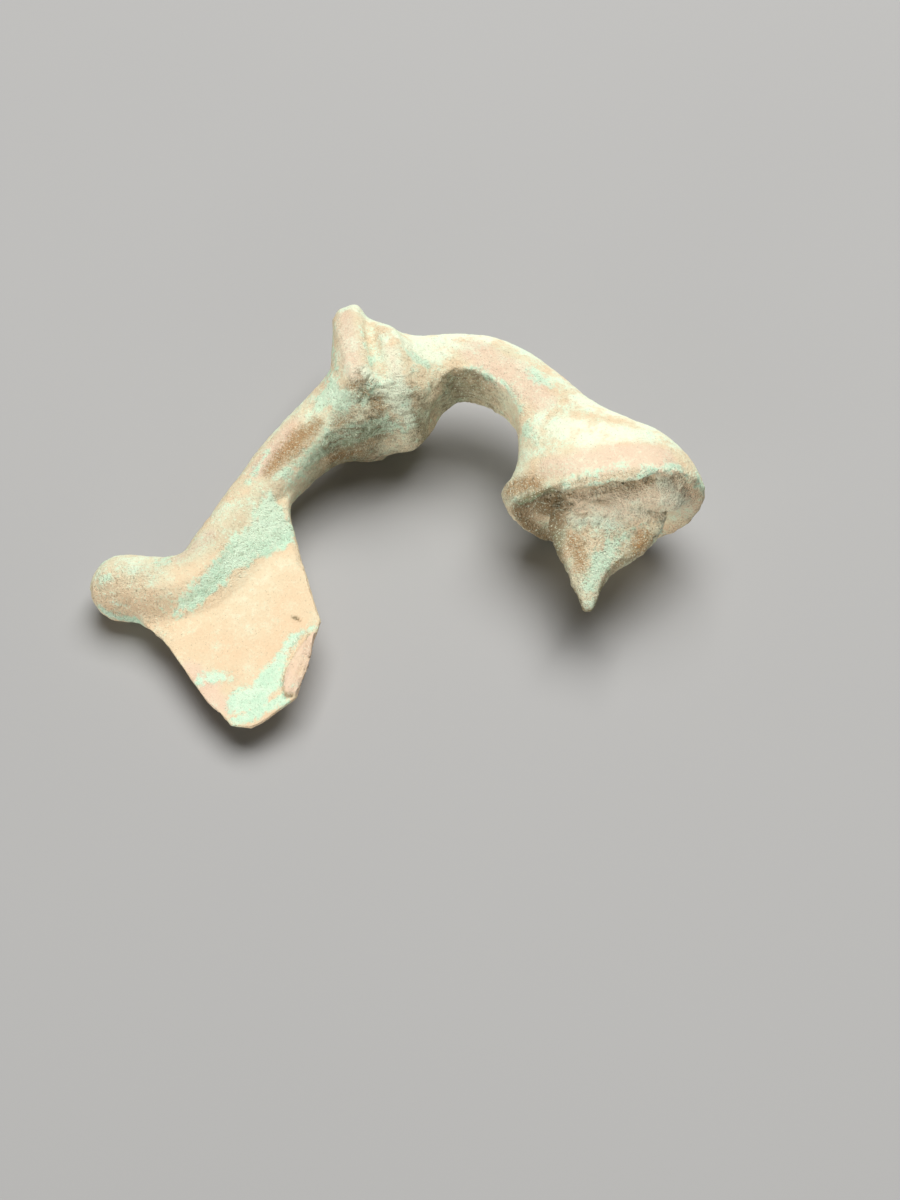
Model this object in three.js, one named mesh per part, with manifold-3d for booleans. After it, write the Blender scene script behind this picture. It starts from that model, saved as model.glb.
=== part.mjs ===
// A cast bronze bow brooch, as found: the pin and its spring are gone, and the spring's lug is broken.
// One casting: foot knob, bow with a collar, catchplate, trumpet head and what is left of the spring lug.
// Lengths are millimetres. The brooch is drawn in its own plane, with u from foot to head, v from the cloth
// to the back of the bow and w across it, and is then laid on its side on z = 0.
import * as THREE from "three";
import { mergeVertices } from "three/addons/utils/BufferGeometryUtils.js";
import Module from "manifold-3d";

// ---- driving dimensions ----

// Middle line of the casting, from the tip of the foot knob to the centre of the head's face.
const SPINE = [
  [-1.6, 0.0],
  [1.0, -0.15],
  [3.4, -0.3],
  [5.4, 0.3],
  [7.4, 2.8],
  [9.3, 5.8],
  [11.4, 8.8],
  [13.5, 11.0],
  [15.4, 12.4],
  [17.0, 13.3],
  [19.0, 14.3],
  [22.0, 15.2],
  [24.8, 14.5],
  [27.3, 12.3],
  [29.2, 9.6],
  [30.8, 6.6],
  [31.8, 3.7],
];

// Section sizes at distances along the middle line: out is towards the back of the bow, in towards the cloth, near
// and far to the two sides across the plane. flat is 1 where the underside is flat, lean turns the section in the
// brooch's plane, in degrees, and egg makes the near side wider at the back than at the cloth.
const SECTIONS = [
  { at: 0.0, out: 2.15, in: 2.05, near: 2.0, far: 2.0, flat: 0, lean: 0, egg: 0 },
  { at: 2.6, out: 2.2, in: 2.15, near: 2.1, far: 2.1, flat: 0, lean: 0, egg: 0 },
  { at: 5.0, out: 2.0, in: 2.3, near: 2.1, far: 2.1, flat: 0, lean: 0, egg: 0 },
  { at: 7.2, out: 1.9, in: 2.1, near: 2.0, far: 2.0, flat: 0, lean: 0, egg: 0 },
  { at: 10.4, out: 2.2, in: 1.7, near: 1.8, far: 1.8, flat: 0, lean: 0, egg: 0 },
  { at: 14.0, out: 2.25, in: 1.5, near: 1.75, far: 1.75, flat: 0.2, lean: 0, egg: 0 },
  { at: 17.6, out: 2.3, in: 1.7, near: 2.0, far: 2.0, flat: 0.4, lean: 0, egg: 0 },
  { at: 20.4, out: 2.35, in: 1.9, near: 2.5, far: 2.5, flat: 0.5, lean: -4, egg: 0 },
  { at: 23.2, out: 2.6, in: 2.6, near: 3.0, far: 3.0, flat: 0.3, lean: -16, egg: 0 },
  { at: 25.1, out: 2.7, in: 2.7, near: 3.0, far: 3.0, flat: 0.3, lean: -18, egg: 0 },
  { at: 28.0, out: 2.6, in: 2.5, near: 2.6, far: 2.6, flat: 0.6, lean: 0, egg: 0 },
  { at: 30.4, out: 2.3, in: 1.8, near: 2.2, far: 2.2, flat: 1, lean: 0, egg: 0 },
  { at: 33.4, out: 2.3, in: 1.8, near: 2.2, far: 2.2, flat: 1, lean: 0, egg: 0 },
  { at: 36.9, out: 2.35, in: 2.1, near: 2.3, far: 2.3, flat: 0.7, lean: 0, egg: 0 },
  { at: 40.0, out: 2.8, in: 3.5, near: 2.6, far: 2.8, flat: 0.2, lean: -3, egg: 0.1 },
  { at: 42.0, out: 4.1, in: 4.9, near: 3.2, far: 4.0, flat: 0, lean: -7, egg: 0.2 },
  { at: 43.5, out: 5.7, in: 5.9, near: 3.5, far: 5.2, flat: 0, lean: -12, egg: 0.3 },
  { at: 44.8, out: 6.4, in: 6.4, near: 3.7, far: 6.0, flat: 0, lean: -17, egg: 0.4 },
  { at: 46.6, out: 6.2, in: 6.2, near: 3.8, far: 6.0, flat: 0, lean: -19, egg: 0.4 },
];

// Turned mouldings: size is what each direction swells to, over a flank on the foot side and on the head side.
const COLLAR = {
  at: 23.95,
  rim: 0.55,
  out: { size: 7.3, foot: 1.3, head: 4.6 },
  in: { size: 2.9, foot: 4.0, head: 2.2 },
  near: { size: 4.9, foot: 3.4, head: 2.4 },
  far: { size: 5.4, foot: 3.4, head: 2.4 },
};
const RING = {
  at: 26.5,
  rim: 0.5,
  out: { size: 3.4, foot: 1.6, head: 2.8 },
  in: { size: 3.8, foot: 2.6, head: 2.0 },
  near: { size: 4.5, foot: 1.8, head: 2.0 },
  far: { size: 4.4, foot: 1.6, head: 1.8 },
};

const SIDES = 36; // points round each section
const STEP = 0.6; // distance between sections along the plain bow
const FINE = { from: 22.6, to: 29.4, step: 0.32 }; // closer sections on the collar

const KNOB_CAP = 2.0; // length of the rounded end of the foot knob
// The head's face: a bevelled edge, then a rim, then a shallow hollow. Scales are of the head's own section.
const FACE = { bevel: 0.35, edge: 0.95, rim: 0.86, dip: 0.14, floor: 0.76, hollow: 0.45, centre: 0.3 };

const PLATE = { thick: 1.0, bevel: 0.28 };
// The slope from the lower bow down to the catchplate: its run along the middle line, how far it reaches at either
// end of that run, how thick it starts, the stretch over which it dies away and how far it sinks into the plate.
const FILLET = { from: 1.5, to: 15.0, foot: 3.0, head: 4.2, root: 3.4, fade: 2.0, sunk: 0.06, cut: 6 };
const STUMP = { u: 12.05, v: -6.5, width: 1.3, length: 5.2, height: 0.5, turn: -15, sunk: 0.1 };
// The spring lug: thickness near its tip, at its broken edge and at the middle of its root, how it swells to the
// root and over what share of its length, how far the root's ends are rounded off, the root line on the head, and
// where the edge starts to thin.
const LUG = {
  thick: 1.2,
  edge: 0.6,
  root: 6.2,
  swell: 1.6,
  flare: 0.8,
  round: 0.06,
  from: 28.2,
  to: 35.4,
  level: 4.2,
  thin: 0.95,
};

// The stretches of u that hold the three points that the brooch lies on.
const SUPPORTS = [
  { from: -2, to: 5 },
  { from: 12, to: 20 },
  { from: 26, to: 40 },
];

// ---- the bow ----

const spine = new THREE.CatmullRomCurve3(
  SPINE.map(([u, v]) => new THREE.Vector3(u, v, 0)),
  false,
  "centripetal",
);
const spineLength = spine.getLength();

const clamp01 = (t) => Math.min(1, Math.max(0, t));
const mix = (a, b, t) => a + (b - a) * t;
const smooth = (t) => t * t * (3 - 2 * t);

// A value of the section table at a distance, on a smooth curve through its rows.
function sectionValue(key, at) {
  const rows = SECTIONS;
  let i = 0;
  while (i < rows.length - 2 && rows[i + 1].at < at) i++;
  const slope = (k) => {
    const a = rows[Math.max(0, k - 1)];
    const b = rows[Math.min(rows.length - 1, k + 1)];
    return (b[key] - a[key]) / (b.at - a.at);
  };
  const [a, b] = [rows[i], rows[i + 1]];
  const width = b.at - a.at;
  const t = clamp01((at - a.at) / width);
  const from = a[key] * (1 + 2 * t) * (1 - t) ** 2 + slope(i) * width * t * (1 - t) ** 2;
  const to = b[key] * t * t * (3 - 2 * t) - slope(i + 1) * width * t * t * (1 - t);
  return from + to;
}

// 1 on a moulding's rim, falling to 0 over its flanks in a hollow curve.
function swell(moulding, flanks, at) {
  const d = at - moulding.at;
  const t = clamp01((Math.abs(d) - moulding.rim) / (d < 0 ? flanks.foot : flanks.head));
  return (1 - t) ** 2;
}

function sectionAt(at) {
  const s = {};
  for (const key of ["out", "in", "near", "far", "flat", "lean", "egg"]) s[key] = sectionValue(key, at);
  for (const moulding of [COLLAR, RING]) {
    for (const key of ["out", "in", "near", "far"])
      s[key] += Math.max(0, moulding[key].size - s[key]) * swell(moulding, moulding[key], at);
    s.flat *= 1 - swell(moulding, moulding.in, at);
  }
  return s;
}

// One section of the casting as a ring of points, drawn smaller by scale and pushed along the middle line.
function ring(at, scale = 1, push = 0) {
  const s = sectionAt(at);
  const t = clamp01(at / spineLength);
  const centre = spine.getPointAt(t);
  const lean = THREE.MathUtils.degToRad(s.lean);
  const along = spine.getTangentAt(t).applyAxisAngle(new THREE.Vector3(0, 0, 1), lean);
  const outward = new THREE.Vector3(-along.y, along.x, 0);
  const points = [];
  for (let i = 0; i < SIDES; i++) {
    const angle = (i / SIDES) * 2 * Math.PI;
    const c = Math.cos(angle);
    const side = Math.sin(angle);
    const power = c < 0 ? 1 / (1 + 1.2 * s.flat) : 1;
    const n = Math.sign(c) * Math.abs(c) ** power;
    const w = Math.abs(side) ** power * (side > 0 ? s.near * (1 + s.egg * n) : -s.far);
    const reach = n * (c < 0 ? s.in : s.out);
    points.push(
      centre
        .clone()
        .addScaledVector(outward, reach * scale)
        .addScaledVector(along, push)
        .setZ(w * scale),
    );
  }
  return points;
}

// Closes a row of rings of equal count into one skin with a fan on each end.
function loft(rings) {
  const count = rings[0].length;
  const position = rings.flat().flatMap((p) => p.toArray());
  for (const end of [rings[0], rings.at(-1)]) {
    const middle = end.reduce((sum, p) => sum.add(p), new THREE.Vector3()).divideScalar(count);
    position.push(...middle.toArray());
  }
  const index = [];
  const last = (rings.length - 1) * count;
  const [startFan, endFan] = [rings.length * count, rings.length * count + 1];
  for (let i = 0; i < count; i++) {
    const j = (i + 1) % count;
    for (let row = 0; row < last; row += count)
      index.push(row + i, row + j, row + count + i, row + j, row + count + j, row + count + i);
    index.push(startFan, j, i, endFan, last + i, last + j);
  }
  const geometry = new THREE.BufferGeometry();
  geometry.setAttribute("position", new THREE.Float32BufferAttribute(position, 3));
  geometry.setIndex(index);
  return geometry;
}

// Foot knob, bow, collar and head, as one loft along the middle line.
function bow() {
  const rings = [];
  const capSteps = 6;
  for (let i = 1; i < capSteps; i++) {
    const angle = (i / capSteps) * (Math.PI / 2);
    rings.push(ring(KNOB_CAP * (1 - Math.cos(angle)), Math.sin(angle)));
  }
  const end = spineLength - FACE.bevel;
  let at = KNOB_CAP;
  while (at < end - STEP / 2) {
    rings.push(ring(at));
    at += at > FINE.from && at < FINE.to ? FINE.step : STEP;
  }
  rings.push(ring(end));
  rings.push(ring(spineLength, FACE.edge));
  rings.push(ring(spineLength, FACE.rim, -FACE.dip));
  rings.push(ring(spineLength, FACE.floor, -FACE.hollow));
  rings.push(ring(spineLength, FACE.centre, -FACE.hollow));
  return loft(rings);
}

// ---- the plates ----

// A web in the brooch's plane from a root line to a free edge. half gives its half thickness at a share of the way
// across from the root and a share of the way along it.
function web(roots, edges, half) {
  const across = 10;
  const rings = roots.map((root, i) => {
    const side = (face) =>
      Array.from({ length: across + 1 }, (_, k) => {
        const share = k / across;
        return root
          .clone()
          .lerp(edges[i], share)
          .setZ(face * half(share, i / (roots.length - 1)));
      });
    return [...side(1), ...side(-1).reverse()];
  });
  return loft(rings);
}

// The catchplate's outline, with its root inside the bow.
function plateOutline() {
  const outline = new THREE.Shape();
  outline.moveTo(3.4, -0.3);
  outline.lineTo(0.9, -1.7);
  outline.quadraticCurveTo(2.8, -3.4, 4.45, -5.8);
  outline.lineTo(6.15, -8.4);
  outline.lineTo(7.95, -10.35);
  outline.lineTo(9.3, -10.6);
  outline.lineTo(9.95, -10.35);
  outline.lineTo(11.9, -8.9);
  outline.lineTo(12.3, -7.2);
  outline.lineTo(13.4, -3.3);
  outline.quadraticCurveTo(12.5, -0.4, 11.3, 4.1);
  outline.quadraticCurveTo(10.9, 5.8, 12.2, 7.6);
  outline.lineTo(11.4, 8.8);
  outline.lineTo(9.3, 5.8);
  outline.lineTo(7.4, 2.8);
  return outline;
}

function plate(thick, bevel) {
  const depth = thick - 2 * bevel;
  return new THREE.ExtrudeGeometry(plateOutline(), {
    depth,
    curveSegments: 5,
    bevelThickness: bevel,
    bevelSize: bevel,
    bevelOffset: -bevel,
    bevelSegments: 2,
  }).translate(0, 0, -depth / 2);
}

// The slope between the lower bow and the catchplate.
function catchFillet() {
  const count = 22;
  const [roots, edges] = [[], []];
  for (let i = 0; i <= count; i++) {
    const t = mix(FILLET.from, FILLET.to, i / count) / spineLength;
    const along = spine.getTangentAt(t);
    const root = spine.getPointAt(t);
    const reach = mix(FILLET.foot, FILLET.head, i / count);
    roots.push(root);
    edges.push(new THREE.Vector3(root.x + along.y * reach, root.y - along.x * reach, 0));
  }
  const sunk = PLATE.thick / 2 - FILLET.sunk;
  const run = (FILLET.to - FILLET.from) / FILLET.fade;
  const half = (across, along) => {
    const root = mix(sunk, FILLET.root / 2, smooth(clamp01((1 - along) * run)));
    return mix(root, sunk, smooth(across));
  };
  return web(roots, edges, half);
}

// The stump of the catch that held the pin's point: a low ridge on the plate's outer edge.
function catchStump() {
  return new THREE.SphereGeometry(1, 14, 10)
    .scale(STUMP.width / 2, STUMP.length / 2, STUMP.height)
    .rotateZ(THREE.MathUtils.degToRad(STUMP.turn))
    .translate(STUMP.u, STUMP.v, PLATE.thick / 2 - STUMP.sunk);
}

// What is left of the lug that held the spring: a spike in the bow's plane with a broken outer edge.
function lug() {
  const inner = new THREE.LineCurve3(new THREE.Vector3(27.9, 2.2, 0), new THREE.Vector3(29.9, -3.9, 0));
  const broken = new THREE.CatmullRomCurve3(
    [
      [30.45, -3.85],
      [31.0, -2.5],
      [31.8, -1.2],
      [33.4, -0.3],
      [34.6, 0.8],
      [35.4, 2.2],
    ].map(([u, v]) => new THREE.Vector3(u, v, 0)),
  );
  const edges = [...inner.getPoints(7), ...broken.getPoints(13)];
  const roots = edges.map((_, i) => {
    const u = mix(LUG.from, LUG.to, i / (edges.length - 1));
    return new THREE.Vector3(u, LUG.level, 0);
  });
  const half = (across, along) => {
    const plan = Math.sin(Math.PI * mix(LUG.round, 1 - LUG.round, along));
    const flare = plan * (1 - clamp01(across / LUG.flare)) ** LUG.swell;
    const body = across > LUG.thin ? LUG.edge : LUG.thick;
    return mix(body, LUG.root, flare) / 2;
  };
  return web(roots, edges, half);
}

// ---- joining and laying down ----

const wasm = await Module();
wasm.setup();

function solidOf(geometry) {
  geometry.deleteAttribute("normal");
  geometry.deleteAttribute("uv");
  const merged = mergeVertices(geometry, 1e-4);
  const numbers = { numProp: 3, vertProperties: merged.attributes.position.array };
  return new wasm.Manifold(new wasm.Mesh({ ...numbers, triVerts: new Uint32Array(merged.index.array) }));
}

function geometryOf(solid) {
  const mesh = solid.getMesh();
  const geometry = new THREE.BufferGeometry();
  geometry.setAttribute("position", new THREE.Float32BufferAttribute(mesh.vertProperties, 3));
  geometry.setIndex(new THREE.BufferAttribute(mesh.triVerts, 1));
  return geometry;
}

// Turns the brooch until foot knob, collar and head, its low points on the far side, touch one level plane.
function restingTurn(position) {
  const points = Array.from({ length: position.count }, (_, i) =>
    new THREE.Vector3().fromBufferAttribute(position, i),
  );
  let down = new THREE.Vector3(0, 0, -1);
  const lowest = ({ from, to }) =>
    points
      .filter((p) => p.x >= from && p.x <= to)
      .reduce((a, b) => (b.dot(down) > a.dot(down) ? b : a));
  for (let round = 0; round < 8; round++) {
    const [knob, collar, head] = SUPPORTS.map(lowest);
    down = collar.clone().sub(knob).cross(head.clone().sub(knob)).normalize();
  }
  const up = down.clone().negate();
  const along = new THREE.Vector3(1, 0, 0).projectOnPlane(up).normalize();
  return new THREE.Matrix4().makeBasis(along, up.clone().cross(along), up).transpose();
}

// The casting laid down, with the middle of its box over the origin and its lowest point on z = 0.
function laidDown(geometry) {
  geometry.applyMatrix4(restingTurn(geometry.attributes.position)).computeBoundingBox();
  const box = geometry.boundingBox;
  const middle = box.getCenter(new THREE.Vector3());
  return geometry.translate(-middle.x, -middle.y, -box.min.z);
}

// The slope ends where the catchplate's own outline ends.
const slope = solidOf(catchFillet()).intersect(solidOf(plate(FILLET.cut, PLATE.bevel)));
const body = [plate(PLATE.thick, PLATE.bevel), catchStump(), lug()]
  .map(solidOf)
  .reduce((sum, piece) => sum.add(piece), solidOf(bow()).add(slope));

const bronze = new THREE.MeshStandardMaterial({ color: 0xc9a983, roughness: 0.85, metalness: 0.1 });
const casting = new THREE.Mesh(laidDown(geometryOf(body)), bronze);
casting.name = "brooch_body";
const brooch = new THREE.Group();
brooch.add(casting);

export default brooch;
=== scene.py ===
"""Dresses the cast bronze brooch: corroded relief, patina and a plain stage."""

import itertools
import math

import bmesh
import bpy
import numpy as np
from bpy.props import FloatProperty, FloatVectorProperty, IntProperty, PointerProperty
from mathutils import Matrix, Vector


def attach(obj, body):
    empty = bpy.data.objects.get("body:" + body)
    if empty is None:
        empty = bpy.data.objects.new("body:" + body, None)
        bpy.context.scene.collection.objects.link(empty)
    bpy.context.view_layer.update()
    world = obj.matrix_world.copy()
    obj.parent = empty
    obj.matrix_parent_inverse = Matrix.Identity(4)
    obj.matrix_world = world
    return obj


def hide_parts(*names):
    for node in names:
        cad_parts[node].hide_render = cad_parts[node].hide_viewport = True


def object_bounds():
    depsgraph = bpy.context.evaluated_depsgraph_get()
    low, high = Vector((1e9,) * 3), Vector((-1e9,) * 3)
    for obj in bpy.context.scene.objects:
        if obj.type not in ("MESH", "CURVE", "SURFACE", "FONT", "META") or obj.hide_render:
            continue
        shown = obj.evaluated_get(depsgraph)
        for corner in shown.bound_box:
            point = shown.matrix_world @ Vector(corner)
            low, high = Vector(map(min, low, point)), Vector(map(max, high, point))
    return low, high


bl_info = {
    "name": "Corroded Bow Brooch",
    "version": (1, 0, 0),
    "blender": (4, 5, 0),
    "location": "3D View > Sidebar > Brooch",
    "description": "Corroded bronze casting and its stage, built round a packed solid",
    "category": "Add Mesh",
}

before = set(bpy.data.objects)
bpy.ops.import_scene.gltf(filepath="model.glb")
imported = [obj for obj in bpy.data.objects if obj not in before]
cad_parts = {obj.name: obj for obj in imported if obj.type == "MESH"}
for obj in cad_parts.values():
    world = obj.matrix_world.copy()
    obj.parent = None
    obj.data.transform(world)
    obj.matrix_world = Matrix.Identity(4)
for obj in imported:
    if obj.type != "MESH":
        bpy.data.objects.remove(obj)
SOLID_BOX = [list(corner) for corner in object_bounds()]
SOLID = "brooch_body"
MM = 0.001

# The casting's own frame, in millimetres: u from foot to head, v from the cloth to the back of the bow and w across
# the bow, out of the side that lies uppermost.
KNOB_END = -1.6  # the least u
PLATE_FOOT = -10.6  # the least v
PLATE_FACE = 0.5  # the w of the catchplate's upper face
PLATE_REACH = 0.56  # how far from w = 0 the catchplate's skin reaches on either side
HEAD_START = 25.0  # the u from which the head's face begins
FACE_LEVEL = 4.15  # the v of the head's face
FACE_MIDDLE = (32.0, -0.9)  # as (u, w)

# Each run is a chain of balls (u, v, w, radius) that follows the surface.
MINT_RUNS = (
    # The collar's side and what runs down from it to the lower bow.
    ((11.4, 5.8, 1.0, 0.3), (12.6, 7.8, 1.0, 0.6), (15.2, 9.4, 1.2, 1.0), (17.4, 10.2, 1.0, 1.0)),
    ((10.6, 6.6, 1.7, 0.35), (12.2, 7.4, 1.7, 0.4), (13.6, 8.8, 1.9, 0.5)),
    ((9.9, 8.6, 1.7, 0.2), (8.8, 6.4, 1.7, 0.25)),
    ((14.9, 11.0, 3.3, 0.9), (16.0, 11.2, 3.6, 0.7), (17.3, 11.6, 3.8, 0.5)),
    # The slope between the lower bow and the catchplate.
    (
        (10.2, 4.9, 1.5, 0.75),
        (10.2, 3.0, 1.0, 1.5),
        (8.9, 1.8, 1.2, 1.1),
        (7.2, 0.2, 1.2, 0.8),
        (5.4, -1.6, 1.1, 0.7),
        (4.3, -2.4, 0.9, 0.45),
    ),
    # The catchplate.
    ((6.0, -7.2, 0.5, 0.4), (7.0, -7.0, 0.5, 0.5), (7.9, -7.2, 0.5, 0.35)),
    ((8.0, -8.4, 0.5, 0.2), (8.6, -7.9, 0.5, 0.15)),
    (
        (12.9, -4.0, 0.5, 0.3),
        (11.8, -4.7, 0.5, 0.4),
        (10.9, -6.1, 0.5, 0.45),
        (10.4, -7.4, 0.5, 0.75),
        (9.7, -8.5, 0.5, 0.95),
        (8.6, -8.9, 0.5, 0.9),
    ),
    ((8.2, -10.2, 0.5, 0.35), (9.4, -9.7, 0.5, 0.5), (11.1, -8.9, 0.5, 0.4)),
    # The foot knob.
    ((-0.2, -0.5, 2.0, 0.35), (0.4, -0.5, 2.1, 0.35)),
    ((3.4, -2.2, 0.6, 0.25), (3.0, -1.4, 1.4, 0.2)),
    ((3.5, 0.6, 1.9, 0.45), (3.7, 1.4, 1.4, 0.35)),
    ((-0.6, 1.3, 1.4, 0.4),),
    ((-0.6, -1.8, 0.4, 0.5), (1.0, -2.2, -0.3, 0.5), (2.4, -2.6, -0.4, 0.3)),
    # The collar.
    ((14.3, 17.2, 2.4, 0.35), (14.5, 15.2, 3.2, 0.35), (14.9, 12.9, 3.9, 0.3)),
    ((14.4, 13.2, 2.6, 0.8), (14.6, 11.6, 3.2, 0.9), (13.6, 11.4, 2.6, 0.6)),
    ((15.9, 17.4, 3.4, 0.15), (16.5, 15.6, 4.4, 0.1), (16.8, 14.2, 4.6, 0.1), (17.0, 12.9, 4.4, 0.3)),
    ((15.2, 10.9, 3.7, 0.55), (16.4, 10.7, 3.4, 0.4)),
    ((14.0, 9.6, 1.6, 0.5), (16.0, 10.0, 1.6, 0.4), (17.6, 10.3, 1.4, 0.5), (18.6, 10.2, 0.6, 0.4)),
    # The upper bow.
    ((19.6, 14.0, 3.6, 0.5), (20.4, 13.8, 2.8, 0.5)),
    ((22.6, 13.6, 2.2, 0.3), (24.0, 13.4, 2.0, 0.25), (25.6, 12.0, 2.0, 0.25), (26.4, 10.4, 2.0, 0.3)),
    ((27.4, 12.8, 2.2, 0.5), (28.6, 11.4, 2.1, 0.3)),
    ((26.8, 8.6, 1.9, 0.5), (27.6, 7.4, 2.1, 0.3)),
    # The head's edge and the spring lug.
    (
        (26.0, 3.7, 0.9, 0.4),
        (26.9, 3.6, 1.4, 0.3),
        (28.6, 3.6, 2.6, 0.15),
        (31.6, 3.2, 3.6, 0.15),
        (34.0, 3.2, 3.9, 0.2),
    ),
    ((35.6, 4.1, 3.7, 0.4), (36.2, 4.1, 3.3, 0.4)),
    ((33.6, 1.4, 1.0, 0.35), (32.8, 0.6, 1.0, 0.4)),
    ((31.9, 0.2, 0.9, 0.6), (31.2, -0.7, 0.8, 0.75), (30.5, -2.2, 0.6, 0.5)),
)
BROWN_RUNS = (
    # The lower bow, and the head's edge on the left.
    ((13.3, 10.0, 2.4, 0.4), (12.0, 9.0, 2.1, 0.7), (10.9, 7.9, 1.9, 0.6), (10.1, 6.9, 1.8, 0.3)),
    ((25.6, 4.8, 0.9, 0.55), (26.5, 4.6, 1.5, 0.6), (27.6, 4.2, 2.0, 0.35)),
    # The hollow below the collar.
    ((16.0, 11.5, 4.1, 0.35), (16.6, 11.1, 3.6, 0.25)),
    ((17.2, 10.9, 2.8, 0.35), (17.6, 10.7, 2.3, 0.2)),
    ((14.6, 9.9, 2.4, 0.3), (15.3, 10.1, 2.5, 0.3)),
    ((13.4, 8.9, -0.4, 0.3), (15.4, 9.5, -0.9, 0.4)),
    # The spring lug.
    ((33.9, 0.6, 0.8, 0.7), (33.4, 0.2, 0.7, 0.5)),
    ((33.2, -0.6, 0.5, 0.4), (34.2, 0.2, 0.4, 0.4)),
    ((29.5, 0.8, 0.9, 0.45), (29.8, -0.3, 0.8, 0.45), (29.9, -1.4, 0.6, 0.25)),
    ((31.2, -3.0, 0.4, 0.2), (32.4, -1.0, 0.3, 0.2)),
)
PINK_RUNS = (
    ((15.3, 17.6, 3.5, 0.7), (15.5, 15.4, 4.4, 0.8), (15.9, 13.2, 4.7, 0.9), (16.1, 12.1, 4.7, 0.7)),
    ((4.4, 1.0, 1.8, 0.5), (6.4, 2.4, 1.8, 0.6)),
    ((23.6, 14.9, 2.1, 1.1), (26.2, 12.6, 2.2, 1.3), (28.0, 10.6, 2.2, 1.1)),
    ((28.2, 5.2, 2.6, 0.9), (31.4, 4.8, 3.7, 1.2), (35.2, 4.7, 3.8, 1.3)),
    ((5.4, -6.6, 0.5, 0.7), (6.8, -8.3, 0.5, 0.9), (7.8, -9.2, 0.5, 0.6)),
    ((12.6, -5.4, 0.6, 0.5), (12.0, -7.4, 0.8, 0.5)),
    ((9.4, 7.2, 1.8, 0.9), (11.6, 10.2, 1.8, 0.8)),
    ((18.3, 13.8, 4.6, 0.5), (18.7, 12.2, 4.0, 0.5)),
)
# Palest crust, and painted light where some of these runs lie on faces in shade.
CREAM_AND_PAINTED_LIGHT_RUNS = (
    ((17.7, 15.4, 4.2, 0.5), (18.4, 13.4, 4.4, 0.6)),
    ((19.0, 15.2, 3.8, 0.9), (20.0, 14.4, 3.2, 1.0), (21.6, 15.2, 2.4, 0.9)),
    ((35.2, 3.6, 2.6, 0.6), (35.8, 3.9, 0.6, 0.6)),
    ((0.2, -1.4, 1.0, 0.4), (2.4, -1.6, 0.9, 0.4)),
    ((29.0, 8.2, 2.6, 0.9), (31.5, 6.8, 3.5, 1.0), (34.6, 6.6, 3.7, 0.8)),
    ((30.4, 10.4, 2.6, 0.8), (33.0, 9.0, 3.3, 0.9), (35.6, 7.8, 3.3, 0.8)),
    ((28.3, 10.4, 2.1, 0.6), (27.6, 8.6, 2.1, 0.4)),
    ((18.4, 13.4, 4.3, 0.5), (18.8, 11.8, 3.6, 0.6), (19.0, 10.9, 2.6, 0.6), (19.2, 10.5, 1.2, 0.5)),
    ((26.6, 13.4, 1.9, 0.5), (28.2, 12.0, 2.0, 0.5)),
    ((15.4, 12.6, 4.6, 0.2), (16.6, 12.2, 4.6, 0.4), (18.0, 11.4, 3.4, 0.5), (19.0, 10.6, 1.8, 0.5)),
    ((35.6, 2.9, 1.8, 0.7), (36.4, 3.6, 0.4, 0.7)),
    ((17.9, 15.6, 4.4, 0.3), (18.3, 13.4, 4.4, 0.35), (18.8, 11.6, 3.2, 0.3)),
    ((20.6, 15.6, 2.4, 1.0), (22.4, 16.0, 2.0, 1.1), (24.6, 16.2, 1.6, 0.8)),
    ((28.6, 13.6, 1.4, 0.5), (31.6, 10.6, 2.6, 0.7), (34.6, 8.2, 3.2, 0.6)),
    ((29.6, 2.0, 1.4, 0.6), (31.6, 1.8, 1.7, 0.7), (33.8, 2.3, 1.3, 0.6)),
)
# Tan, browner patina; the first run darkens the lower bow's side as painted shade.
TAN_AND_SHADE_RUNS = (
    (
        (13.2, 9.2, 2.2, 0.7),
        (11.0, 7.0, 1.9, 0.7),
        (9.0, 4.4, 1.7, 0.65),
        (7.2, 2.2, 1.6, 0.6),
        (5.0, 0.6, 1.6, 0.5),
    ),
    ((27.0, 4.9, 1.6, 0.7), (28.6, 4.6, 2.4, 0.4)),
    ((31.6, -0.6, 0.8, 0.3), (33.4, 0.6, 0.8, 0.4)),
)
# The smoothest part of the head's face, where the lug's root swells out, and a part to its right, both painted pale:
# painted light on the head's face, which turns away from the lights.
SMOOTH_PAINTED_LIGHT_RUN = ((30.2, 2.7, 1.7, 0.7), (32.6, 2.5, 1.7, 1.0), (35.2, 3.0, 1.6, 1.0))
FACE_PAINTED_LIGHT_RUN = ((35.7, 3.4, 0.8, 0.9), (36.3, 3.6, -1.4, 1.1))
HOLLOW_RUN = ((16.3, 11.9, 4.6, 0.5), (16.9, 11.2, 3.6, 0.8), (17.3, 10.8, 2.6, 0.6))
BROKEN_EDGE = ((30.9, -2.9, 0.2, 0.25), (31.7, -1.4, 0.3, 0.35), (33.2, -0.3, 0.4, 0.4), (34.5, 0.8, 0.5, 0.4))
CRACK_RUNS = (
    ((11.5, -3.25, 0.5, 0.02), (12.1, -3.45, 0.5, 0.02)),
    ((31.0, 7.3, 3.3, 0.02), (30.6, 7.2, 3.2, 0.02)),
    ((11.45, -8.55, 0.5, 0.06), (11.9, -8.75, 0.5, 0.05)),
)
DEEP_PITS = ((12.77, -2.94, 0.5, 0.14), (17.6, 10.9, 2.6, 0.24), (16.2, 11.4, 4.0, 0.18), (22.2, 13.4, 2.1, 0.16))

# The broken inner edge of the flake, and the catchplate's free edge, as (u, v).
FLAKE_EDGE = ((12.95, -4.4), (12.4, -5.1), (11.9, -5.9), (11.45, -6.7), (11.2, -7.5), (11.2, -8.2), (11.6, -8.8))
PLATE_RIM = (
    (1.2, -2.0),
    (4.45, -5.8),
    (6.15, -8.4),
    (7.95, -10.35),
    (9.3, -10.6),
    (11.9, -8.9),
    (12.3, -7.2),
    (13.4, -3.3),
    (12.5, 0.0),
)
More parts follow.
